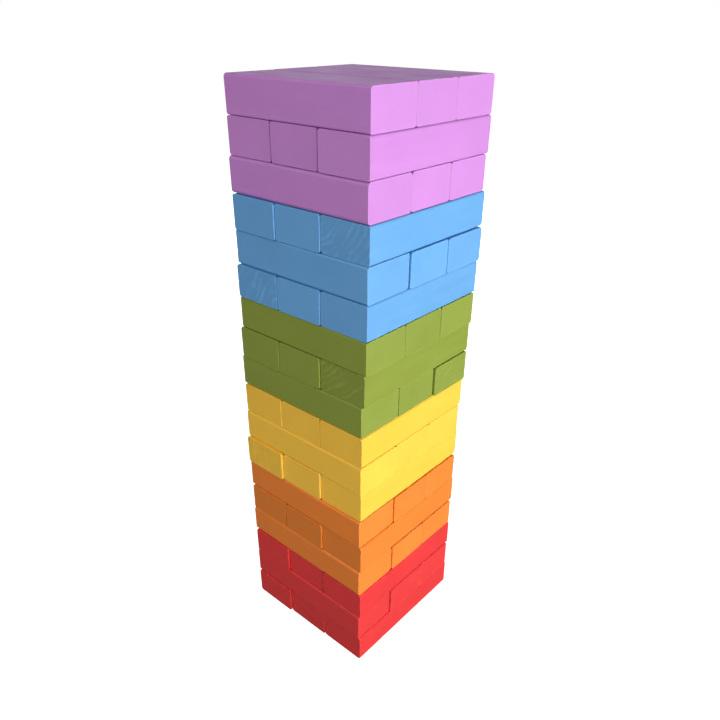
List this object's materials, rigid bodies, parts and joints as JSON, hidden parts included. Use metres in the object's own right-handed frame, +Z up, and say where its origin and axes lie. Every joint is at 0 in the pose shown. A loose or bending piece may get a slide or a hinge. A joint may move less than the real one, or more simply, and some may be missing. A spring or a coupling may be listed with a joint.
{
  "type": "giant tumbling tower",
  "caption": "Free-standing stack of loose painted wooden blocks, laid in levels that each cross the one below, in bands of colour; every block slides out along its length.",
  "frame": {"origin": "middle of the stack's footprint, on the ground under the lowest level", "axes": "+Z up; odd levels, the lowest among them, have their blocks' length along Y, and even levels, the top one among them, along X"},
  "size_m": [0.199, 0.196, 0.6891],
  "materials": {
    "paint_red": "matte paint over planed softwood",
    "paint_orange": "matte paint over planed softwood",
    "paint_yellow": "matte paint over planed softwood",
    "paint_green": "matte paint over planed softwood",
    "paint_blue": "matte paint over planed softwood",
    "paint_purple": "matte paint over planed softwood"
  },
  "bodies": {
    "level_01_red_left": {"level_01_red_left": "paint_red"},
    "level_01_red_middle": {"level_01_red_middle": "paint_red"},
    "level_01_red_right": {"level_01_red_right": "paint_red"},
    "level_02_red_front": {"level_02_red_front": "paint_red"},
    "level_02_red_middle": {"level_02_red_middle": "paint_red"},
    "level_02_red_back": {"level_02_red_back": "paint_red"},
    "level_03_red_left": {"level_03_red_left": "paint_red"},
    "level_03_red_middle": {"level_03_red_middle": "paint_red"},
    "level_03_red_right": {"level_03_red_right": "paint_red"},
    "level_04_orange_front": {"level_04_orange_front": "paint_orange"},
    "level_04_orange_middle": {"level_04_orange_middle": "paint_orange"},
    "level_04_orange_back": {"level_04_orange_back": "paint_orange"},
    "level_05_orange_left": {"level_05_orange_left": "paint_orange"},
    "level_05_orange_middle": {"level_05_orange_middle": "paint_orange"},
    "level_05_orange_right": {"level_05_orange_right": "paint_orange"},
    "level_06_orange_front": {"level_06_orange_front": "paint_orange"},
    "level_06_orange_middle": {"level_06_orange_middle": "paint_orange"},
    "level_06_orange_back": {"level_06_orange_back": "paint_orange"},
    "level_07_yellow_left": {"level_07_yellow_left": "paint_yellow"},
    "level_07_yellow_middle": {"level_07_yellow_middle": "paint_yellow"},
    "level_07_yellow_right": {"level_07_yellow_right": "paint_yellow"},
    "level_08_yellow_front": {"level_08_yellow_front": "paint_yellow"},
    "level_08_yellow_middle": {"level_08_yellow_middle": "paint_yellow"},
    "level_08_yellow_back": {"level_08_yellow_back": "paint_yellow"},
    "level_09_yellow_left": {"level_09_yellow_left": "paint_yellow"},
    "level_09_yellow_middle": {"level_09_yellow_middle": "paint_yellow"},
    "level_09_yellow_right": {"level_09_yellow_right": "paint_yellow"},
    "level_10_green_front": {"level_10_green_front": "paint_green"},
    "level_10_green_middle": {"level_10_green_middle": "paint_green"},
    "level_10_green_back": {"level_10_green_back": "paint_green"},
    "level_11_green_left": {"level_11_green_left": "paint_green"},
    "level_11_green_middle": {"level_11_green_middle": "paint_green"},
    "level_11_green_right": {"level_11_green_right": "paint_green"},
    "level_12_green_front": {"level_12_green_front": "paint_green"},
    "level_12_green_middle": {"level_12_green_middle": "paint_green"},
    "level_12_green_back": {"level_12_green_back": "paint_green"},
    "level_13_blue_left": {"level_13_blue_left": "paint_blue"},
    "level_13_blue_middle": {"level_13_blue_middle": "paint_blue"},
    "level_13_blue_right": {"level_13_blue_right": "paint_blue"},
    "level_14_blue_front": {"level_14_blue_front": "paint_blue"},
    "level_14_blue_middle": {"level_14_blue_middle": "paint_blue"},
    "level_14_blue_back": {"level_14_blue_back": "paint_blue"},
    "level_15_blue_left": {"level_15_blue_left": "paint_blue"},
    "level_15_blue_middle": {"level_15_blue_middle": "paint_blue"},
    "level_15_blue_right": {"level_15_blue_right": "paint_blue"},
    "level_16_purple_front": {"level_16_purple_front": "paint_purple"},
    "level_16_purple_middle": {"level_16_purple_middle": "paint_purple"},
    "level_16_purple_back": {"level_16_purple_back": "paint_purple"},
    "level_17_purple_left": {"level_17_purple_left": "paint_purple"},
    "level_17_purple_middle": {"level_17_purple_middle": "paint_purple"},
    "level_17_purple_right": {"level_17_purple_right": "paint_purple"},
    "level_18_purple_front": {"level_18_purple_front": "paint_purple"},
    "level_18_purple_middle": {"level_18_purple_middle": "paint_purple"},
    "level_18_purple_back": {"level_18_purple_back": "paint_purple"}
  },
  "joints": [
    {"name": "level_01_red_left_slide", "type": "slide", "parent": "level_01_red_middle", "child": "level_01_red_left", "axis": [0, 1, 0], "range_m": [-0.19, 0.19]},
    {"name": "level_01_red_right_slide", "type": "slide", "parent": "level_01_red_middle", "child": "level_01_red_right", "axis": [0, 1, 0], "range_m": [-0.19, 0.19]},
    {"name": "level_02_red_front_slide", "type": "slide", "parent": "level_01_red_middle", "child": "level_02_red_front", "axis": [1, 0, 0], "range_m": [-0.19, 0.19]},
    {"name": "level_02_red_middle_slide", "type": "slide", "parent": "level_01_red_middle", "child": "level_02_red_middle", "axis": [1, 0, 0], "range_m": [-0.19, 0.19]},
    {"name": "level_02_red_back_slide", "type": "slide", "parent": "level_01_red_middle", "child": "level_02_red_back", "axis": [1, 0, 0], "range_m": [-0.19, 0.19]},
    {"name": "level_03_red_left_slide", "type": "slide", "parent": "level_01_red_middle", "child": "level_03_red_left", "axis": [0, 1, 0], "range_m": [-0.19, 0.19]},
    {"name": "level_03_red_middle_slide", "type": "slide", "parent": "level_01_red_middle", "child": "level_03_red_middle", "axis": [0, 1, 0], "range_m": [-0.19, 0.19]},
    {"name": "level_03_red_right_slide", "type": "slide", "parent": "level_01_red_middle", "child": "level_03_red_right", "axis": [0, 1, 0], "range_m": [-0.19, 0.19]},
    {"name": "level_04_orange_front_slide", "type": "slide", "parent": "level_01_red_middle", "child": "level_04_orange_front", "axis": [1, 0, 0], "range_m": [-0.19, 0.19]},
    {"name": "level_04_orange_middle_slide", "type": "slide", "parent": "level_01_red_middle", "child": "level_04_orange_middle", "axis": [1, 0, 0], "range_m": [-0.19, 0.19]},
    {"name": "level_04_orange_back_slide", "type": "slide", "parent": "level_01_red_middle", "child": "level_04_orange_back", "axis": [1, 0, 0], "range_m": [-0.19, 0.19]},
    {"name": "level_05_orange_left_slide", "type": "slide", "parent": "level_01_red_middle", "child": "level_05_orange_left", "axis": [0, 1, 0], "range_m": [-0.19, 0.19]},
    {"name": "level_05_orange_middle_slide", "type": "slide", "parent": "level_01_red_middle", "child": "level_05_orange_middle", "axis": [0, 1, 0], "range_m": [-0.19, 0.19]},
    {"name": "level_05_orange_right_slide", "type": "slide", "parent": "level_01_red_middle", "child": "level_05_orange_right", "axis": [0, 1, 0], "range_m": [-0.19, 0.19]},
    {"name": "level_06_orange_front_slide", "type": "slide", "parent": "level_01_red_middle", "child": "level_06_orange_front", "axis": [1, 0, 0], "range_m": [-0.19, 0.19]},
    {"name": "level_06_orange_middle_slide", "type": "slide", "parent": "level_01_red_middle", "child": "level_06_orange_middle", "axis": [1, 0, 0], "range_m": [-0.19, 0.19]},
    {"name": "level_06_orange_back_slide", "type": "slide", "parent": "level_01_red_middle", "child": "level_06_orange_back", "axis": [1, 0, 0], "range_m": [-0.19, 0.19]},
    {"name": "level_07_yellow_left_slide", "type": "slide", "parent": "level_01_red_middle", "child": "level_07_yellow_left", "axis": [0, 1, 0], "range_m": [-0.19, 0.19]},
    {"name": "level_07_yellow_middle_slide", "type": "slide", "parent": "level_01_red_middle", "child": "level_07_yellow_middle", "axis": [0, 1, 0], "range_m": [-0.19, 0.19]},
    {"name": "level_07_yellow_right_slide", "type": "slide", "parent": "level_01_red_middle", "child": "level_07_yellow_right", "axis": [0, 1, 0], "range_m": [-0.19, 0.19]},
    {"name": "level_08_yellow_front_slide", "type": "slide", "parent": "level_01_red_middle", "child": "level_08_yellow_front", "axis": [1, 0, 0], "range_m": [-0.19, 0.19]},
    {"name": "level_08_yellow_middle_slide", "type": "slide", "parent": "level_01_red_middle", "child": "level_08_yellow_middle", "axis": [1, 0, 0], "range_m": [-0.19, 0.19]},
    {"name": "level_08_yellow_back_slide", "type": "slide", "parent": "level_01_red_middle", "child": "level_08_yellow_back", "axis": [1, 0, 0], "range_m": [-0.19, 0.19]},
    {"name": "level_09_yellow_left_slide", "type": "slide", "parent": "level_01_red_middle", "child": "level_09_yellow_left", "axis": [0, 1, 0], "range_m": [-0.19, 0.19]},
    {"name": "level_09_yellow_middle_slide", "type": "slide", "parent": "level_01_red_middle", "child": "level_09_yellow_middle", "axis": [0, 1, 0], "range_m": [-0.19, 0.19]},
    {"name": "level_09_yellow_right_slide", "type": "slide", "parent": "level_01_red_middle", "child": "level_09_yellow_right", "axis": [0, 1, 0], "range_m": [-0.19, 0.19]},
    {"name": "level_10_green_front_slide", "type": "slide", "parent": "level_01_red_middle", "child": "level_10_green_front", "axis": [1, 0, 0], "range_m": [-0.19, 0.19]},
    {"name": "level_10_green_middle_slide", "type": "slide", "parent": "level_01_red_middle", "child": "level_10_green_middle", "axis": [1, 0, 0], "range_m": [-0.19, 0.19]},
    {"name": "level_10_green_back_slide", "type": "slide", "parent": "level_01_red_middle", "child": "level_10_green_back", "axis": [1, 0, 0], "range_m": [-0.19, 0.19]},
    {"name": "level_11_green_left_slide", "type": "slide", "parent": "level_01_red_middle", "child": "level_11_green_left", "axis": [0, 1, 0], "range_m": [-0.19, 0.19]},
    {"name": "level_11_green_middle_slide", "type": "slide", "parent": "level_01_red_middle", "child": "level_11_green_middle", "axis": [0, 1, 0], "range_m": [-0.19, 0.19]},
    {"name": "level_11_green_right_slide", "type": "slide", "parent": "level_01_red_middle", "child": "level_11_green_right", "axis": [0, 1, 0], "range_m": [-0.19, 0.19]},
    {"name": "level_12_green_front_slide", "type": "slide", "parent": "level_01_red_middle", "child": "level_12_green_front", "axis": [1, 0, 0], "range_m": [-0.19, 0.19]},
    {"name": "level_12_green_middle_slide", "type": "slide", "parent": "level_01_red_middle", "child": "level_12_green_middle", "axis": [1, 0, 0], "range_m": [-0.19, 0.19]},
    {"name": "level_12_green_back_slide", "type": "slide", "parent": "level_01_red_middle", "child": "level_12_green_back", "axis": [1, 0, 0], "range_m": [-0.19, 0.19]},
    {"name": "level_13_blue_left_slide", "type": "slide", "parent": "level_01_red_middle", "child": "level_13_blue_left", "axis": [0, 1, 0], "range_m": [-0.19, 0.19]},
    {"name": "level_13_blue_middle_slide", "type": "slide", "parent": "level_01_red_middle", "child": "level_13_blue_middle", "axis": [0, 1, 0], "range_m": [-0.19, 0.19]},
    {"name": "level_13_blue_right_slide", "type": "slide", "parent": "level_01_red_middle", "child": "level_13_blue_right", "axis": [0, 1, 0], "range_m": [-0.19, 0.19]},
    {"name": "level_14_blue_front_slide", "type": "slide", "parent": "level_01_red_middle", "child": "level_14_blue_front", "axis": [1, 0, 0], "range_m": [-0.19, 0.19]},
    {"name": "level_14_blue_middle_slide", "type": "slide", "parent": "level_01_red_middle", "child": "level_14_blue_middle", "axis": [1, 0, 0], "range_m": [-0.19, 0.19]},
    {"name": "level_14_blue_back_slide", "type": "slide", "parent": "level_01_red_middle", "child": "level_14_blue_back", "axis": [1, 0, 0], "range_m": [-0.19, 0.19]},
    {"name": "level_15_blue_left_slide", "type": "slide", "parent": "level_01_red_middle", "child": "level_15_blue_left", "axis": [0, 1, 0], "range_m": [-0.19, 0.19]},
    {"name": "level_15_blue_middle_slide", "type": "slide", "parent": "level_01_red_middle", "child": "level_15_blue_middle", "axis": [0, 1, 0], "range_m": [-0.19, 0.19]},
    {"name": "level_15_blue_right_slide", "type": "slide", "parent": "level_01_red_middle", "child": "level_15_blue_right", "axis": [0, 1, 0], "range_m": [-0.19, 0.19]},
    {"name": "level_16_purple_front_slide", "type": "slide", "parent": "level_01_red_middle", "child": "level_16_purple_front", "axis": [1, 0, 0], "range_m": [-0.19, 0.19]},
    {"name": "level_16_purple_middle_slide", "type": "slide", "parent": "level_01_red_middle", "child": "level_16_purple_middle", "axis": [1, 0, 0], "range_m": [-0.19, 0.19]},
    {"name": "level_16_purple_back_slide", "type": "slide", "parent": "level_01_red_middle", "child": "level_16_purple_back", "axis": [1, 0, 0], "range_m": [-0.19, 0.19]},
    {"name": "level_17_purple_left_slide", "type": "slide", "parent": "level_01_red_middle", "child": "level_17_purple_left", "axis": [0, 1, 0], "range_m": [-0.19, 0.19]},
    {"name": "level_17_purple_middle_slide", "type": "slide", "parent": "level_01_red_middle", "child": "level_17_purple_middle", "axis": [0, 1, 0], "range_m": [-0.19, 0.19]},
    {"name": "level_17_purple_right_slide", "type": "slide", "parent": "level_01_red_middle", "child": "level_17_purple_right", "axis": [0, 1, 0], "range_m": [-0.19, 0.19]},
    {"name": "level_18_purple_front_lift", "type": "slide", "parent": "level_01_red_middle", "child": "level_18_purple_front", "axis": [0, 0, 1], "range_m": [0, 0.04]},
    {"name": "level_18_purple_middle_lift", "type": "slide", "parent": "level_01_red_middle", "child": "level_18_purple_middle", "axis": [0, 0, 1], "range_m": [0, 0.04]},
    {"name": "level_18_purple_back_lift", "type": "slide", "parent": "level_01_red_middle", "child": "level_18_purple_back", "axis": [0, 0, 1], "range_m": [0, 0.04]}
  ]
}
